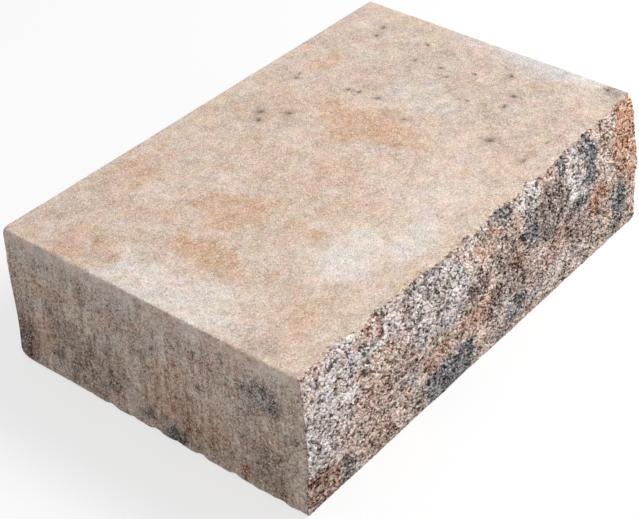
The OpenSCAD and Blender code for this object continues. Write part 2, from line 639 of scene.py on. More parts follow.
@dataclass(frozen=True)
class MouldedShell:
    """The five moulded faces: nearly flat, with rounded and chipped arrises and blow holes."""

    box: Box
    points: Array
    holes: list[BlowHole]
    knocks: list[Knock]  # the larger chips
    tread_arris: float = 1.9 * MM  # mean radius of the arrises round the tread
    bed_arris: float = 3.4 * MM  # mean radius of the arrises round the bed
    least_arris: float = 0.8 * MM  # radius of the sharpest place
    # How much the radius changes along the arrises, and in what waves
    uneven: tuple[float, Waves] = (0.35, (24 * MM, 3, 0.7))
    torn: tuple[float, Waves] = (0.75, (9 * MM, 2, 0.6))  # how much more it changes close to the bed
    chips: int = 46  # number of small random chips
    chip_radius: Span = (2.2, 4.2)  # least and greatest radius of a small chip, in millimetres
    chip_reach: Span = (1.5, 3.5)  # least and greatest reach of one, in millimetres
    # How far the faces swell in and out, and in what waves
    swell: tuple[float, Waves] = (0.7 * MM, (75 * MM, 4, 0.55))

    BED_HEIGHTS = (0.3, 0.7)  # shares of the height over which one arris radius turns into the other
    TORN_HEIGHTS = (0.3, 0.1)  # shares of the height between which the tears begin
    DIAGONAL = 0.41  # how much longer a square's diagonal is than its side
    SHADE = ((1.0, 1.6), (0.6, 4.0))  # painted shade and grime: darkness in a hole's middle, and radii from there to its end

    # Both ends of each arris that takes chips, as shares of the box
    ARRISES = (
        ((0, 1, 1), (1, 1, 1)), ((0, 0, 1), (0, 1, 1)), ((1, 0, 1), (1, 1, 1)), ((0, 0, 0), (0, 1, 0)),
        ((1, 0, 0), (1, 1, 0)), ((0, 1, 0), (1, 1, 0)), ((0, 1, 0), (0, 1, 1)), ((1, 1, 0), (1, 1, 1)))

    def _all_knocks(self) -> list[Knock]:
        """Lists the larger chips and adds the small random ones.

        Returns:
            All chips.
        """
        draw = np.random.default_rng(23)
        found = list(self.knocks)
        for _ in range(self.chips):
            start, end = np.array(self.ARRISES[draw.integers(len(self.ARRISES))])
            place = start + (end - start) * draw.uniform(0.02, 0.98)
            radius, reach = (draw.uniform(*span) * MM for span in (self.chip_radius, self.chip_reach))
            found.append(Knock(tuple(place), radius, reach))
        return found

    def _radius(self) -> Array:
        """Finds the radius of the nearest arris.

        Returns:
            The radius at each point.
        """
        wear = Lattice(21)
        height = (self.points[:, 2] - self.box.low[2]) / self.box.size[2]
        radius = self.bed_arris + (self.tread_arris - self.bed_arris) * smooth(*self.BED_HEIGHTS, height)
        uneven = self.uneven[0] * wear.layered(self.points, *self.uneven[1])
        torn = smooth(*self.TORN_HEIGHTS, height) * wear.layered(self.points, *self.torn[1])
        radius = np.maximum(radius * (1.0 + uneven + self.torn[0] * torn), self.least_arris)
        for knock in self._all_knocks():
            middle = self.box.low + np.array(knock.place) * self.box.size
            away = np.linalg.norm(self.points - middle, axis=1) / knock.reach
            radius = np.maximum(radius, knock.radius * np.exp(-0.5 * away * away))
        return radius

    def worn(self) -> tuple[Array, Array, Array]:
        """Rounds the arrises of the sharp box.

        Returns:
            The moved points, the direction out of the moulded surface at each, and how far round an
            arris each one is, from 0 on a flat face to 1 at the arris itself.
        """
        radius = self._radius()[:, None]
        high = self.box.high - radius
        core = np.clip(self.points, self.box.low + radius, high)
        core[:, 1] = np.minimum(self.points[:, 1], high[:, 1])
        spoke = self.points - core
        longest = np.abs(spoke).max(axis=1)
        length = np.maximum(np.linalg.norm(spoke, axis=1), 1e-9)
        moved = core + spoke * (longest / length)[:, None]
        slant = length / np.maximum(longest, 1e-9) - 1.0
        return moved, spoke / length[:, None], np.clip(slant / self.DIAGONAL, 0.0, 1.0)

    def sink(self) -> tuple[Array, Array]:
        """Finds how far the moulded surface lies inside the box, apart from its arrises.

        Returns:
            The depth at each point, and how much painted shade and grime a blow hole puts there, from 0 to 1.
        """
        depth = self.swell[0] * (0.5 + 0.5 * Lattice(22).layered(self.points, *self.swell[1]))
        hole_shade_and_grime = np.zeros(len(self.points))
        for hole in self.holes:
            places = self.box.places(hole.side, self.points)
            away = np.where(np.abs(places[:, 0]) < FLUSH, hole.away(places[:, 1:]), FAR)
            depth = depth + hole.depth * np.clip(1.0 - away * away, 0.0, 1.0)
            for dark, end in self.SHADE:
                hole_shade_and_grime = np.maximum(hole_shade_and_grime, dark * (1.0 - away / end))
        return depth, hole_shade_and_grime


@dataclass(frozen=True)
class BlockStep:
    """The whole block: lays the mesh out, shapes it and dresses it."""

    box: Box
    solid: Object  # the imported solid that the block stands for
    holes: list[BlowHole]
    knocks: list[Knock]
    stains: list[Stain]
    finish: "Concrete"
    blend_depth: float = 55 * MM  # how far behind the split the moulded faces are bent to meet it
    crumbs: float = 4 * MM  # how far behind its edge the split's colours and crumbs spread
    # How ragged the stains' outlines are, and in what waves
    ragged: tuple[float, Waves] = (0.9, (40 * MM, 4, 0.8))
    fog: Waves = (60 * MM, 4, 0.75)  # the waves in which the pigments drift by themselves
    fog_span: Span = (0.35, 1.3)  # how strong that drift is at its middle, and how much it changes
    # Depth below the tread between which the walls turn from clean to coarse
    clean: Span = (8 * MM, 22 * MM)
    clean_ragged: float = 6 * MM  # how ragged that line is
    clean_wall: float = 0.1  # how coarse the clean part is
    crease: float = 48.0  # angle in degrees above which an edge is shaded sharp

    # Spacing of the points inside each moulded face
    SPACING = {
        Side.TREAD: 4.0 * MM,
        Side.LEFT_END: 4.5 * MM,
        Side.RIGHT_END: 4.5 * MM,
        Side.BACK: 6.0 * MM,
        Side.BED: 12.0 * MM,
    }

    def build(self) -> Object:
        """Makes the block's object.

        Returns:
            The object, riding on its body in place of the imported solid.
        """
        mesher = Mesher(self.box)
        sheets = [mesher.split()]
        for side, spacing in self.SPACING.items():
            sheets.append(mesher.moulded(side, spacing, [hole for hole in self.holes if hole.side is side]))
        sharp, faces, members = weld(sheets)
        points, marks = self._shape(sharp)
        marks.update(self._stain(sharp, dict(zip((Side.SPLIT, *self.SPACING), members))))
        mesh = bpy.data.meshes.new("cast_block")
        mesh.from_pydata(points.tolist(), [], faces)
        mesh.shade_smooth()
        mesh.set_sharp_from_angle(angle=math.radians(self.crease))
        mesh.validate()
        for name, values in marks.items():
            mesh.attributes.new(name, "FLOAT", "POINT").data.foreach_set("value", values.astype(np.float32))
        mesh.materials.append(self.finish.material())
        block = add_object("cast_block", mesh)
        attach(block, BODY)
        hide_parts(NODE)
        return block

    def _shape(self, sharp: Array) -> tuple[Array, dict[str, Array]]:
        """Moves the sharp box's points to where they lie on the real block.

        Args:
            sharp: points of the sharp box.

        Returns:
            The moved points, and the attributes that the finish reads.
        """
        shell = MouldedShell(self.box, sharp, self.holes, self.knocks)
        broken = BrokenFace(self.box, self.solid, sharp)
        moved, outward, arris = shell.worn()
        sink, hole_shade_and_grime = shell.sink()
        depth, marks = broken.depth()
        from_front = sharp[:, 1] - self.box.low[1]
        on_split = from_front < FLUSH
        moved = moved - outward * sink[:, None]
        moved[:, 1] += depth * smooth(self.blend_depth, 0.0, from_front)
        moved[:, 2] -= broken.crumble()
        marks = {name: np.where(on_split, values, 0.0) for name, values in marks.items()}
        marks["split"] = np.where(on_split, 1.0, 0.5 * np.exp(-from_front / self.crumbs))
        # how far round an arris each point is, which the finish lightens as a painted highlight
        marks["arris"] = np.where(on_split, 0.0, arris)
        # painted shade and grime in and round each blow hole
        marks["blow_hole"] = hole_shade_and_grime
        return np.clip(moved, self.box.low, self.box.high), marks

    def _stain(self, sharp: Array, members: dict[Side, Array]) -> dict[str, Array]:
        """Spreads the pigments.

        Args:
            sharp: points of the sharp box.
            members: numbers of each face's points.

        Returns:
            One attribute for each pigment, and one for the walls.
        """
        rough = Lattice(31)
        ragged = self.ragged[0] * rough.layered(sharp, *self.ragged[1])
        fog = {p: rough.layered(sharp + 1.7 * n + 0.9, *self.fog) for n, p in enumerate(Pigment)}
        marks = {name: np.zeros(len(sharp)) for name in (*(p.mark for p in Pigment), "wall")}
        for side, mine in members.items():
            places = self.box.places(side, sharp[mine])[:, 1:]
            if side in WALLS:
                below = self.box.high[2] - sharp[mine, 2] + self.clean_ragged * ragged[mine]
                marks["wall"][mine] = self.clean_wall + (1.0 - self.clean_wall) * smooth(*self.clean, below)
            for pigment in Pigment:
                drift = self.fog_span[0] + self.fog_span[1] * fog[pigment][mine]
                cover = FOG.get(side, WALL_FOG).get(pigment, 0.0) * drift
                for stain in self.stains:
                    if stain.side is side and stain.pigment is pigment:
                        cover = np.maximum(cover, stain.cover(places, ragged[mine]))
                kept = marks[pigment.mark][mine]
                marks[pigment.mark][mine] = np.maximum(kept, np.clip(cover, 0.0, 1.0))
        return marks


# ---- what this block's surface shows ------------------------------------

# Places on a face are in millimetres from its left and its foot, seen from outside.

# Middle across and up, and radius of each blow hole
LARGE_HOLES = {
    Side.TREAD: (
        (320, 321, 3.3), (306, 312, 2.8), (337, 294, 2.6), (400, 336, 2.8), (410, 338, 1.8),
        (416, 274, 2.0), (419, 262, 2.2), (420, 238, 2.6), (555, 328, 2.6), (534, 323, 1.9),
        (552, 263, 2.0), (514, 254, 2.3), (517, 221, 1.9), (505, 205, 2.1), (529, 183, 1.9),
        (551, 149, 2.6), (515, 124, 3.6), (490, 120, 2.7), (423, 95, 4.2), (476, 158, 1.7), (402, 190, 1.8),
        (590, 48, 2.6), (412, 44, 2.6), (456, 41, 1.8)),
    Side.LEFT_END: (
        (215, 16, 4.4), (227, 18, 2.8), (185, 24, 3.4), (176, 18, 2.4), (204, 27, 2.2), (60, 30, 2.4)),
}

# Place of each larger chip as shares of the box, its radius, and its reach along the arris
KNOCKS = (
    ((0, 1, 0), 10, 12), ((0, 1, 1), 4, 5), ((0, 1, 0.25), 8, 42), ((0, 0.82, 0), 5.5, 60),
    ((0, 0.09, 0), 6, 8), ((0, 0.02, 0), 5, 12), ((0, 0.03, 1), 5, 10), ((1, 1, 0), 8, 9),
    ((0, 0.81, 0), 8, 4), ((0, 0.73, 0), 7, 5), ((0, 0.66, 0), 9, 5), ((0, 0.58, 0), 8, 4),
    ((0, 0.5, 0), 9, 6), ((0, 0.43, 0), 7, 4), ((0, 0.35, 0), 9, 5), ((0, 0.24, 0), 8, 5),
)

# How strongly each pigment drifts over a face by itself
FOG = {
    Side.TREAD: {
        TAN: 0.3, PALE: 0.35, GREY: 0.1, PINK: 0.5},
    Side.SPLIT: {
        TAN: 0.1, UMBER: 0.4, PALE: 0.2, ASH: 0.75, GREY: 0.35, PINK: 0.58, SLATE: 0.35, RUST: 0.25,
        OCHRE: 0.05},
}
WALL_FOG = {
    TAN: 0.15, UMBER: 0.45, PALE: 0.5, GREY: 0.15, PINK: 0.9, SLATE: 0.15, RUST: 0.2}

# Number of random stains of each pigment on a wall that nothing is known of
RANDOM_STAINS = {UMBER: 9, TAN: 3, SLATE: 3, PALE: 3}

# Each stain, up to a comma, is its middle across and up, half its width and height, and its strength
STAINS = {
    Side.TREAD: {
        TAN: """
            30 300 30 44 0.6, 90 195 20 76 0.9, 165 218 42 44 0.9, 230 215 170 80 0.4, 350 325 56 46 0.5,
            366 212 44 62 0.95, 287 188 44 34 0.6, 225 202 28 36 0.4, 155 348 62 30 0.6, 108 280 28 30 0.5,
            452 330 30 22 0.55, 262 288 36 22 0.5, 165 150 48 20 0.5, 245 122 36 22 0.4, 85 65 42 34 0.55,
            178 135 12 12 0.8, 220 150 26 14 0.6""",
        UMBER: """
            60 352 18 20 0.35, 28 285 24 22 0.3, 75 180 9 42 0.35, 20 75 20 30 0.3, 425 42 14 12 0.35,
            110 60 20 14 0.3, 552 245 16 20 0.3, 588 30 18 28 0.5, 530 12 60 14 0.25""",
        GREY: """
            320 305 26 34 0.4, 325 350 34 26 0.45, 510 170 110 200 0.4, 556 328 26 20 0.5,
            155 178 20 15 0.5, 320 216 20 14 0.4, 465 92 14 38 0.45, 575 35 30 34 0.5, 592 32 13 28 1.0,
            480 30 90 40 0.3, 592 200 16 120 0.3, 420 240 12 20 0.4, 14 60 14 26 0.5""",
        PALE: """
            168 88 46 30 0.9, 230 48 36 26 0.9, 26 180 36 90 0.95, 455 205 34 46 0.7, 200 258 12 34 0.7,
            300 255 20 28 0.5, 135 305 22 22 0.5, 485 300 30 22 0.5, 300 70 50 30 0.5, 400 335 14 16 0.6""",
        ASH: "594 120 18 110 1.0, 578 80 24 60 0.5",
        PINK: """
            465 282 30 28 0.7, 505 185 18 50 0.7, 518 56 38 40 0.8, 420 70 32 24 0.7, 375 172 34 18 0.7,
            25 310 30 46 0.45, 75 325 30 36 0.3, 435 262 40 30 0.6, 505 330 24 16 0.5, 330 130 30 20 0.5,
            40 60 36 30 0.6""",
    },
    Side.LEFT_END: {
        ASH: "172 150 100 10 0.55",
        PINK: "172 150 100 12 0.6, 70 145 60 20 0.4",
        TAN: """
            42 45 14 30 0.6, 215 70 34 38 0.6, 265 45 26 30 0.55, 60 110 40 20 0.4, 195 40 30 20 0.4,
            330 70 30 20 0.4""",
        RUST: "305 16 10 12 0.9, 225 50 24 30 0.4, 262 34 20 20 0.45",
        UMBER: """
            14 30 26 40 1.0, 12 80 16 40 0.6, 100 42 60 44 0.65, 325 80 50 60 0.5, 65 90 16 20 0.45,
            125 35 22 14 0.4, 215 8 14 9 1.0, 183 16 16 8 0.5, 330 40 40 40 0.6, 240 40 36 36 0.55,
            78 148 12 10 0.3""",
        SLATE: """
            325 118 26 22 0.7, 128 38 24 14 0.5, 332 56 16 9 0.5, 215 10 13 8 0.9, 188 18 14 7 0.45,
            60 88 14 18 0.35, 10 30 14 22 0.45, 275 100 12 10 0.4""",
        PALE: """
            295 90 16 9 1.0, 165 40 13 20 0.6, 82 105 4 42 0.7, 166 70 4 34 0.7, 25 90 16 26 0.4,
            190 118 76 44 0.5, 186 30 20 14 0.5, 145 98 9 8 0.7, 240 77 9 7 0.9, 200 105 30 18 0.6,
            260 110 34 24 0.5, 168 140 70 10 0.6, 310 75 16 12 0.5, 50 135 50 20 0.5, 140 120 40 20 0.5,
            345 140 20 12 0.5""",
    },
    Side.SPLIT: {
        TAN: "270 66 34 20 0.7, 95 150 26 14 0.5, 292 138 30 18 0.6, 205 60 20 14 0.6, 592 25 12 14 0.6",
        OCHRE: "580 136 36 48 1.0, 521 70 16 18 1.0, 592 70 8 16 0.7, 100 146 18 10 0.4, 290 146 20 10 0.4",
        RUST: """
            20 22 27 24 1.0, 54 16 18 14 0.3, 285 104 14 12 0.5, 100 12 20 10 0.5, 345 90 10 13 1.0,
            119 80 7 6 0.9, 114 150 7 16 0.8, 285 60 14 12 0.6, 521 68 11 13 0.5""",
        SLATE: """
            60 16 14 14 0.6, 228 18 44 27 1.0, 205 14 22 16 0.9, 252 34 18 18 1.0, 497 134 17 34 1.0,
            368 116 16 26 0.7, 562 36 16 26 0.85, 342 34 28 18 0.7, 318 150 24 12 0.7, 440 152 9 14 0.9,
            474 86 16 10 0.7""",
        UMBER: """
            58 17 24 18 1.0, 412 114 34 32 1.0, 472 84 26 9 1.0, 114 148 6 16 0.5, 312 144 26 18 0.6,
            320 62 60 26 0.6, 272 100 26 20 0.9, 325 106 30 24 0.6, 325 70 30 20 0.7, 330 16 30 16 0.5,
            170 14 30 16 0.45, 470 18 40 16 0.4, 345 38 30 20 0.6, 570 30 16 20 0.4, 500 60 60 22 0.65,
            345 100 60 26 0.4, 515 20 50 20 0.4""",
        ASH: """
            30 95 40 60 1.0, 75 144 80 26 1.0, 85 60 34 26 0.5, 205 114 60 30 1.0, 225 148 100 20 0.8,
            372 148 24 20 0.8, 458 130 22 28 1.0, 480 100 18 26 0.9, 300 112 20 12 0.5, 540 100 12 30 0.5,
            150 60 40 20 0.4""",
        PINK: "430 62 40 20 0.9, 200 58 30 16 0.7, 100 70 40 26 0.6, 60 60 30 20 0.5, 380 50 24 20 0.6",
    },
}


def stains(box: Box) -> list[Stain]:
    """Lists the block's stains.

    Args:
        box: the block's box.

    Returns:
        The stains of the faces above, and on each wall the clean band that the press leaves at its top.
        The two walls that nothing is known of get patches at random.
    """
    found = []
    for side, groups in STAINS.items():
        for pigment, table in groups.items():
            for row in table.split(","):
                *sizes, strength = map(float, row.split())
                found.append(Stain(side, pigment, *(MM * size for size in sizes), strength))
    draw = np.random.default_rng(41)
    for side in WALLS:
        wide, high = box.extent(side)
        found.append(Stain(side, PALE, 0.55 * wide, high - 6 * MM, 0.45 * wide, 15 * MM, 1.0))
        if side in STAINS:
            continue
        found.append(Stain(side, UMBER, 0.5 * wide, 0.4 * high, wide, high, 0.3))
        least, most = (0, 0, 12 * MM, 0.3), (wide, 0.7 * high, 40 * MM, 0.8)
        for pigment, count in RANDOM_STAINS.items():
            for across, up, half, strength in draw.uniform(least, most, (count, 4)):
                found.append(Stain(side, pigment, across, up, half, 0.8 * half, strength))
    return found


def blow_holes(box: Box) -> list[BlowHole]:
    """Lists the block's blow holes.

    Args:
        box: the block's box.

    Returns:
        The larger holes in the tread and the left end, and small ones at random in every wall.
    """
    draw = np.random.default_rng(42)
    found = []

    def add(side: Side, across: float, up: float, radius: float, widened: float = 1.0) -> None:
        """Adds one hole, turned at random."""
        found.append(BlowHole(side, across, up, widened * radius, 0.7 * radius, draw.uniform(0, 3)))

    for side, rows in LARGE_HOLES.items():
        for row in rows:
            add(side, *(MM * value for value in row), widened=1.15)
    margin = 13 * MM
    for side in WALLS:
        wide, high = box.extent(side)
        for _ in range(round(wide / (8 * MM))):
            across, up = draw.uniform((margin, margin), (wide - margin, high - margin))
            radius = draw.uniform(1.1, 2.1) * MM
            if all(hole.side is not side or math.hypot(hole.across - across, hole.up - up)
                   >= 1.8 * (hole.radius + radius) for hole in found):
                add(side, across, up, radius)
    return found


def knocks() -> list[Knock]:
    """The larger chips and worn stretches of the arrises."""
    return [Knock(place, radius * MM, reach * MM) for place, radius, reach in KNOCKS]


# ---- finishes -----------------------------------------------------------


@dataclass(frozen=True)
class Noise:
    """One noise of a finish."""

    pitch: float  # width of its lumps in millimetres
    detail: float = 2.0  # number of finer layers
    roughness: float = 0.5  # strength of each layer in the one before
    strength: float = 1.0  # how far it strays, in whole swings


class Wire:
    """A shader socket that is used in Python expressions.

    Plain numbers give Math nodes, vectors give Vector Math nodes, and colours give Mix nodes.
    """

    def __init__(self, graph: "Graph", socket: NodeSocket) -> None:
        """Keeps the graph and one of its output sockets."""
        self.graph = graph
        self.socket = socket

    def combine(self, operation: str, first: "Value", second: "Value") -> "Wire":
        """Adds the node for one operator.

        Args:
            operation: the node's name for it.
            first: what stands before the operator.
            second: what stands after it.

        Returns:
            The result.
        """
        kinds = {wire.socket.type for wire in (first, second) if isinstance(wire, Wire)}
        if "RGBA" in kinds:
            settings = {"data_type": "RGBA", "blend_type": operation}
            return self.graph.node("ShaderNodeMix", settings, {0: 1.0, 6: first, 7: second}, 2)
        kind = "ShaderNodeVectorMath" if "VECTOR" in kinds else "ShaderNodeMath"
        return self.graph.node(kind, {"operation": operation}, {0: first, 1: second})

    def __add__(self, other: "Value") -> "Wire":
        """Sum."""
        return self.combine("ADD", self, other)

    def __mul__(self, other: "Value") -> "Wire":
        """Product."""
        return self.combine("MULTIPLY", self, other)

    def __sub__(self, other: "Value") -> "Wire":
        """Difference."""
        return self.combine("SUBTRACT", self, other)

    def __rsub__(self, other: "Value") -> "Wire":
        """Difference, with this socket taken away."""
        return self.combine("SUBTRACT", other, self)

    __radd__ = __add__
    __rmul__ = __mul__

    def step(self, low: float, high: float) -> "Wire":
        """Smooth step of a number: 0 at low and 1 at high, which may be the lower of the two."""
        settings = {"interpolation_type": "SMOOTHSTEP"}
        return self.graph.node("ShaderNodeMapRange", settings, {"Value": self, 1: low, 2: high})

    def between(self, low: float, high: float) -> "Wire":
        """A number that is low where this one is 0, and high where it is 1."""
        return low + (high - low) * self

    def pick(self, without: "Value", full: "Value") -> "Wire":
        """The first colour where this number is 0, and the second where it is 1."""
        settings = {"data_type": "RGBA", "clamp_factor": True}
        return self.graph.node("ShaderNodeMix", settings, {0: self, 6: without, 7: full}, 2)

    def part(self, name: str) -> "Wire":
        """One of the three numbers of a vector or a colour: X, Y or Z."""
        return self.graph.node("ShaderNodeSeparateXYZ", {}, {0: self}, name)

    def beside(self, output: str) -> "Wire":
        """Another output of the node that this wire comes from."""
        return Wire(self.graph, self.socket.node.outputs[output])


Value = Wire | float | tuple


def weigh(shares: tuple[float, ...], *parts: Wire) -> Wire:
    """Sum of wires, each times its share."""
    return sum(share * part for share, part in zip(shares, parts))


class Graph:
    """The nodes of one material or world."""

    def __init__(self, owner: Material | bpy.types.World) -> None:
        """Empties the owner's node tree.

        Args:
            owner: the material or world.
        """
        owner.use_nodes = True
        self.tree = owner.node_tree
        self.tree.nodes.clear()

    def node(self, kind: str, settings: dict, sockets: dict, output: int | str = 0) -> Wire:
        """Adds a node.

        Args:
            kind: the node's type.
            settings: its settings by name, set before its sockets. "stops" are a ramp's, as pairs of
                a place and a brightness.
            sockets: the value or wire of each input socket, by name or number.
            output: name or number of the output that is returned.

        Returns:
            The output, as a wire. The wire of a node that has no output leads nowhere.
        """
        made = self.tree.nodes.new(kind)
        for name, value in settings.items():
            if name != "stops":
                setattr(made, name, value)
                continue
            elements = made.color_ramp.elements
            while len(elements) < len(value):
                elements.new(0.5)
            for element, (position, brightness) in zip(elements, value):
                element.position = position
                element.color = (*(brightness,) * 3, 1.0)
        for key, value in sockets.items():
            self._plug(made, key, value)
        return Wire(self, made.outputs[output] if made.outputs else None)

    def _plug(self, made: Node, key: int | str, value: Value) -> None:
        """Links or sets one input socket.

        Args:
            made: the node.
            key: name or number of the socket.
            value: the wire that leads to it, or its value.
        """
        socket = made.inputs[key]
        if isinstance(value, Wire):
            self.tree.links.new(value.socket, socket)
            return
        if socket.type in ("RGBA", "VECTOR") and not isinstance(value, tuple):
            value = (value,) * 3
        socket.default_value = (*value, 1.0) if socket.type == "RGBA" else value

    @cached_property
    def place(self) -> Wire:
        """Coordinates in the row frame, in millimetres."""
        return self.node("ShaderNodeTexCoord", {}, {}, "Object") * (1000.0, 1000.0, 1000.0)

    def mark(self, name: str) -> Wire:
        """An attribute of the mesh, as a number."""
        return self.node("ShaderNodeAttribute", {"attribute_name": name}, {}, "Fac")

    def noise(self, kind: Noise, squash: Vector3 = (1.0, 1.0, 1.0), output: str = "Fac") -> Wire:
        """Adds a noise round 0.

        Args:
            kind: the noise.
            squash: how much finer it is along X, Y and Z.
            output: "Fac" for one number, or "Color" for three at once.

        Returns:
            The noise.
        """
        sockets = {"Scale": 1.0 / kind.pitch, "Detail": kind.detail, "Roughness": kind.roughness}
        sockets["Vector"] = self.place if squash == (1.0, 1.0, 1.0) else self.place * squash
        middle = 0.5 if output == "Fac" else (0.5, 0.5, 0.5)
        return kind.strength * (self.node("ShaderNodeTexNoise", {}, sockets, output) - middle)

    def grains(self, place: Wire, pitch: float) -> Wire:
        """Packed grains about pitch millimetres wide, each with a colour at random."""
        return self.node("ShaderNodeTexVoronoi", {}, {"Vector": place, "Scale": 1.0 / pitch}, "Color")

    def backdrop(self) -> Wire:
        """Tells how this is seen.

        Returns:
            1 where the camera, a reflection or glass sees this, and 0 for the light that it gives off.
        """
        camera = self.node("ShaderNodeLightPath", {}, {}, "Is Camera Ray")
        mirrored = camera.beside("Is Glossy Ray") + camera.beside("Is Transmission Ray")
        return self.node("ShaderNodeMath", {"operation": "ADD", "use_clamp": True}, {0: camera, 1: mirrored})

    def close(self, shader: Wire, kind: str = "ShaderNodeOutputMaterial") -> None:
        """Leads the last shader to the output."""
        self.node(kind, {}, {"Surface": shader})


@dataclass(frozen=True)
class Concrete:
    """Blended dry-cast concrete: sandy where it was moulded, bare stone and matrix where it broke.

    Colours are linear and lengths in millimetres. The two numbers of a step are where it is 0 and 1.
    """

    base: Colour = (0.73, 0.58, 0.48)
    # the colour of grime in the pits, and of the painted shade and grime in the blow holes
    dirt_and_shade: Colour = (0.13, 0.105, 0.09)
    quartz: Colour = (0.90, 0.86, 0.81)
    layers: tuple[Pigment, ...] = (PALE, ASH, PINK, GREY, UMBER, SLATE, TAN, OCHRE, RUST)

    # The split's grains, and where its look ends at its edges
    edge: Noise = Noise(3.5, 2.0, 0.7, 1.6)
    edge_step: Span = (0.3, 0.6)
    grain_pitch: float = 2.15
    grain_lean: float = -0.45
    grain_squash: Vector3 = (0.7, 1.0, 1.1)
    grain_shake: Noise = Noise(2.2, strength=0.9)

    # How the pigments lie: each pair is for the moulded faces and for the split
    fullness: Span = (0.85, 1.35)
    thinness: float = 0.2
    dusting: Span = (0.3, 0.8)
    dust: Noise = Noise(3.0, 2.0, 0.8)
    grain_stain: float = 0.3
    mist: Noise = Noise(16.0, 3.0, 0.6)
    cover_step: Span = (0.08, 0.95)
    hue: Noise = Noise(22.0, strength=1.6)
    cool: Colour = (0.94, 1.0, 1.07)
    warm: Colour = (1.05, 1.0, 0.92)
    green: Colour = (0.97, 1.035, 0.97)
    mauve: Colour = (1.03, 0.965, 1.03)

    # The moulded faces: each pair that is no step is for the tread and for the walls
    coarseness: Span = (1.0, 1.9)
    sand: Noise = Noise(1.3, 2.0, 0.8)
    grit: Noise = Noise(3.2, 1.0, 0.9)
    mottle: Noise = Noise(14.0, 1.0, 1.0, 0.5)
    drag: Noise = Noise(1.0, 2.0, 0.7, 1.1)
    drag_squash: Vector3 = (0.13, 0.13, 0.014)
    sand_shade: float = 1.25
    grit_shade: float = 0.65
    shade_tint: float = 0.65
    shade_white: float = 0.38
    speck_pitch: float = 2.2
    speck_step: Span = (0.5, 0.25)
    glint_step: Span = (0.62, 0.88)
    glint_share: Span = (0.8, 0.9)
    pit_step: Span = (0.9, 1.0)
    pit_share: Span = (0.5, 1.0)
    pit_dirt: float = 0.7
    # The blow holes are darkened with painted shade and grime
    hollow_step: Span = (0.1, 0.9)
    hole_shade_and_grime_share: float = 0.85
    # painted highlight along the worn arrises
    arris_highlight: float = 0.25
    moulded_relief: tuple[float, ...] = (0.9, 0.8, 0.2, -0.7)  # of sand, grit, glints and pits

    # The split
    blotch: Noise = Noise(13.0, 2.0, 0.8)
    blotch_shade: float = 1.5
    rank_shares: Vector3 = (0.3, 0.7, 0.45)  # of the mesh's stone, the grain and the blotch
    tones: tuple[Span, ...] = ((0.0, 0.12), (0.15, 0.36), (0.3, 1.15), (0.6, 1.4), (0.85, 1.55))
    deepening: float = 1.1
    bright_quartz: float = 0.35
    cast: Colour = (0.93, 0.91, 0.94)
    red: Colour = (1.1, 0.88, 0.78)
    red_step: Span = (0.8, 0.95)
    red_share: float = 0.12
    quartz_step: Span = (0.84, 0.97)
    quartz_share: float = 0.55
    # Painted shade between the grains and in the sunken hollows of the break; shadow is its darkness
    gap_step: Span = (0.45, 0.8)
    gap_shade_share: float = 0.45
    sunken_shade_share: float = 0.7
    shadow: float = 0.25
    sand_contrast: float = 1.6
    broken_relief: Vector3 = (1.2, -0.7, 0.9)  # of sand, gaps and grains

    # How the light falls on it
    roughness: float = 0.87
    gloss: Noise = Noise(2.0, strength=0.12)
    specular: float = 0.15

    def material(self) -> Material:
        """Builds the material.

        Returns:
            The material.
        """
        graph = Graph(made := bpy.data.materials.new("blended_concrete"))
        split = (graph.mark("split") + graph.noise(self.edge)).step(*self.edge_step)
        turned = {"Vector": graph.place, "Rotation": (0.0, self.grain_lean, 0.0)}
        slant = graph.node("ShaderNodeMapping", {}, turned, "Vector")
        shaken = slant * self.grain_squash + graph.noise(self.grain_shake, output="Color")
        grains = graph.grains(shaken, self.grain_pitch)
        scatter = split.between(*self.dusting) * graph.noise(self.dust)
        scatter = scatter + self.grain_stain * split * (grains.part("Z") - 0.5)
        tint = self._tint(graph, split, scatter)
        moulded, moulded_height = self._moulded(graph, tint)
        broken, broken_height = self._broken(graph, tint, grains)
        height = moulded_height + split * (broken_height - moulded_height)
        graph.close(graph.node("ShaderNodeBsdfPrincipled", {}, {
            "Base Color": split.pick(moulded, broken),
            "Roughness": self.roughness - graph.noise(self.gloss),
            "Normal": graph.node("ShaderNodeBump", {}, {"Strength": 1.0, "Distance": MM, "Height": height}),
            "Specular IOR Level": self.specular}))
        return made

    def _tint(self, graph: Graph, split: Wire, scatter: Wire) -> Wire:
        """Mixes the slow change of colour that every face shares.

        Args:
            graph: the material's graph.
            split: 1 on the split face, where the stains are fuller, and 0 on the moulded ones.
            scatter: noise round 0, from grain to grain, that breaks the stains up.

        Returns:
            The colour.
        """
        fullness = split.between(*self.fullness)
        mist = fullness * graph.noise(self.mist) - self.thinness * split
        colour = self.base
        for pigment in self.layers:
            cover = (fullness * graph.mark(pigment.mark) + mist + scatter).step(*self.cover_step)
            colour = cover.pick(colour, pigment.value)
        hue = graph.noise(self.hue, output="Color")
        colour = (0.5 + hue.part("X")).pick(colour * self.cool, colour * self.warm)
        return (0.5 + hue.part("Y")).pick(colour * self.green, colour * self.mauve)

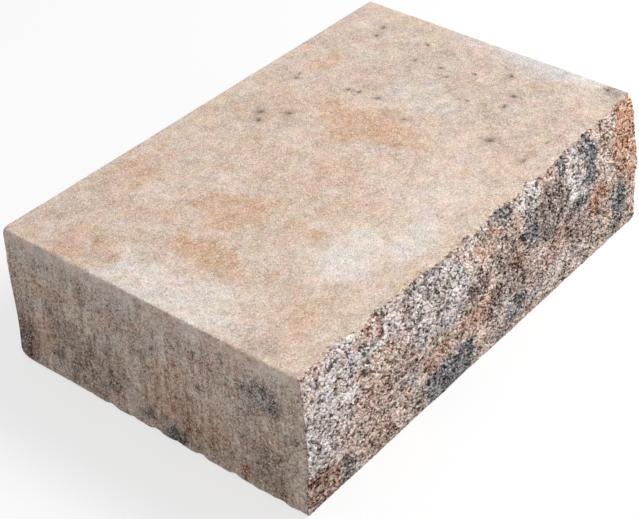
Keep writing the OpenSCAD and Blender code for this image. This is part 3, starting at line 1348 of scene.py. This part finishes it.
    def _moulded(self, graph: Graph, tint: Wire) -> tuple[Wire, Wire]:
        """Finishes the moulded faces.

        Args:
            graph: the material's graph.
            tint: the slow change of colour.

        Returns:
            The colour and the height of the grain.
        """
        wall = graph.mark("wall")
        coarse = wall.between(*self.coarseness)
        sand = graph.noise(self.sand)
        grit = graph.noise(self.grit)
        shade = coarse * (self.sand_shade * sand + self.grit_shade * grit) + graph.noise(self.mottle)
        shade = shade + wall * graph.noise(self.drag, self.drag_squash)
        colour = tint * (1.0 + self.shade_tint * shade) + self.shade_white * shade
        specks = graph.grains(graph.place, self.speck_pitch)
        inside = specks.beside("Distance").step(*self.speck_step)
        glint = inside * specks.part("X").step(*self.glint_step)
        pit = inside * specks.part("Y").step(*self.pit_step) * wall.between(*self.pit_share)
        colour = (wall.between(*self.glint_share) * glint).pick(colour, self.quartz)
        # Painted shade and grime darken the blow holes; the pits are darkened with grime
        hollow = graph.mark("blow_hole").step(*self.hollow_step)
        colour = (self.pit_dirt * pit + self.hole_shade_and_grime_share * hollow).pick(colour, self.dirt_and_shade)
        # Painted highlight: the worn arrises are lightened towards pale
        colour = (self.arris_highlight * graph.mark("arris")).pick(colour, PALE.value)
        return colour, weigh(self.moulded_relief, coarse * sand, coarse * grit, glint, pit)

    def _broken(self, graph: Graph, tint: Wire, grains: Wire) -> tuple[Wire, Wire]:
        """Finishes the split face.

        Args:
            graph: the material's graph.
            tint: the slow change of colour.
            grains: the grains, by their random colour.

        Returns:
            The colour and the height of the grain.
        """
        blotch = graph.noise(self.blotch)
        rank = weigh(self.rank_shares, graph.mark("stone"), grains.part("X"), blotch).step(0.0, 1.0)
        tone = graph.node("ShaderNodeValToRGB", {"stops": self.tones}, {"Fac": rank}, "Color")
        deep = tint * (self.deepening * tint)
        glow = tuple(self.bright_quartz * part for part in self.quartz)
        colour = rank.pick(deep, (1.0 - self.bright_quartz) * tint + glow) * self.cast
        colour = colour * tone * (1.0 + self.blotch_shade * blotch)
        red = grains.part("Y").step(*self.red_step)
        colour = (self.red_share * red).pick(colour, colour * self.red)
        colour = (self.quartz_share * rank.step(*self.quartz_step)).pick(colour, self.quartz)
        # Painted shade: the gaps between the grains are darkened towards shadow
        gap = grains.beside("Distance").step(*self.gap_step)
        colour = (self.gap_shade_share * gap).pick(colour, colour * self.shadow)
        # Painted shade: the sunken hollows of the break are darkened towards shadow
        colour = (self.sunken_shade_share * graph.mark("sunken")).pick(colour, deep * self.shadow)
        sand = graph.noise(self.sand)
        height = weigh(self.broken_relief, sand, gap, grains.part("X"))
        return colour * (1.0 + self.sand_contrast * sand), height


# ---- the picture --------------------------------------------------------


def add_object(name: str, data: bpy.types.ID) -> Object:
    """Adds an object to the scene.

    Args:
        name: its name.
        data: its mesh, lamp or camera.

    Returns:
        The object.
    """
    made = bpy.data.objects.new(name, data)
    bpy.context.scene.collection.objects.link(made)
    return made


def facing(direction: Vector) -> Euler:
    """The turn that lets a camera or a lamp face a direction."""
    return direction.to_track_quat("-Z", "Y").to_euler()


@dataclass(frozen=True)
class Studio:
    """A pale floor and soft light, with the camera at a three-quarter view from above."""

    # What the camera looks at, as an offset from the middle of the block's box
    target: Vector3 = (-0.065, -0.0165, -0.0015)
    azimuth: float = -52.125  # direction of view in degrees; 0 looks along +Y
    elevation: float = 36.45  # camera's height above the horizon, in degrees
    distance: float = 1.637  # from the camera to its target
    lens: float = 89.93  # focal length in millimetres, on a sensor 36 mm wide
    sky: float = 0.44  # strength of the light from all round
    paleness: float = 0.65  # how far the floor that the camera sees is lightened towards white
    floor_tones: Span = (0.45, 0.97)  # brightness of the floor for its own light and for the camera
    half: float = 6.0  # half the floor's width
    # Name, place, width and power in watts of each square lamp
    lamps: tuple[tuple[str, Vector3, float, float], ...] = (
        ("key_lamp", (1.5, -1.6, 2.6), 1.3, 83.0), ("fill_lamp", (-2.4, -1.6, 1.8), 1.8, 14.5))

    def camera(self, box: Box) -> Object:
        """Places the camera.

        Args:
            box: the block's box.

        Returns:
            The camera.
        """
        turn, rise = math.radians(self.azimuth), math.radians(self.elevation)
        back = Vector((math.sin(turn) * math.cos(rise), -math.cos(turn) * math.cos(rise), math.sin(rise)))
        data = bpy.data.cameras.new("camera")
        data.lens = self.lens
        data.sensor_width = 36.0
        camera = add_object("camera", data)
        camera.location = Vector((box.low + box.high) / 2) + Vector(self.target) + back * self.distance
        camera.rotation_euler = facing(-back)
        bpy.context.scene.camera = camera
        return camera

    def floor(self, box: Box) -> Object:
        """Lays the floor.

        Args:
            box: the block's box.

        Returns:
            The floor.
        """
        half, level = self.half, float(box.low[2])
        mesh = bpy.data.meshes.new("floor")
        corners = [(-half, -half, level), (half, -half, level), (half, half, level), (-half, half, level)]
        mesh.from_pydata(corners, [], [(0, 1, 2, 3)])
        graph = Graph(made := bpy.data.materials.new("pale_floor"))
        seen = graph.backdrop()
        colour = seen.pick(*self.floor_tones)
        lit = graph.node("ShaderNodeBsdfDiffuse", {}, {"Color": colour})
        white = graph.node("ShaderNodeEmission", {}, {"Color": 1.0, "Strength": 1.0})
        graph.close(graph.node("ShaderNodeMixShader", {}, {0: self.paleness * seen, 1: lit, 2: white}))
        mesh.materials.append(made)
        floor = add_object("floor", mesh)
        return floor

    def lights(self) -> list[Object]:
        """Sets the world and hangs the lamps.

        Returns:
            The lamps.
        """
        world = bpy.data.worlds.new("studio")
        bpy.context.scene.world = world
        graph = Graph(world)
        strength = self.sky + (1.0 - self.sky) * graph.backdrop()
        shader = graph.node("ShaderNodeBackground", {}, {"Color": 1.0, "Strength": strength})
        graph.close(shader, "ShaderNodeOutputWorld")
        hung = []
        for name, place, size, power in self.lamps:
            data = bpy.data.lights.new(name, "AREA")
            data.size = size
            data.energy = power
            lamp = add_object(name, data)
            lamp.location = place
            lamp.rotation_euler = facing(-Vector(place))
            hung.append(lamp)
        return hung


def main() -> None:
    """Builds the block, the studio and the camera."""
    logging.basicConfig(level=logging.INFO, format="%(name)s: %(message)s")
    bpy.context.scene.view_settings.view_transform = "Standard"
    box = Box(*(np.array(corner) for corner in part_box(NODE)))
    block = BlockStep(
        box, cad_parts[NODE], blow_holes(box), knocks(), stains(box), Concrete()).build()
    LOG.info("%s: %d triangles", block.name, sum(len(p.vertices) - 2 for p in block.data.polygons))
    studio = Studio()
    for made in (studio.floor(box), *studio.lights(), studio.camera(box)):
        LOG.info("%s", made.name)


if __name__ == "__main__":
    main()
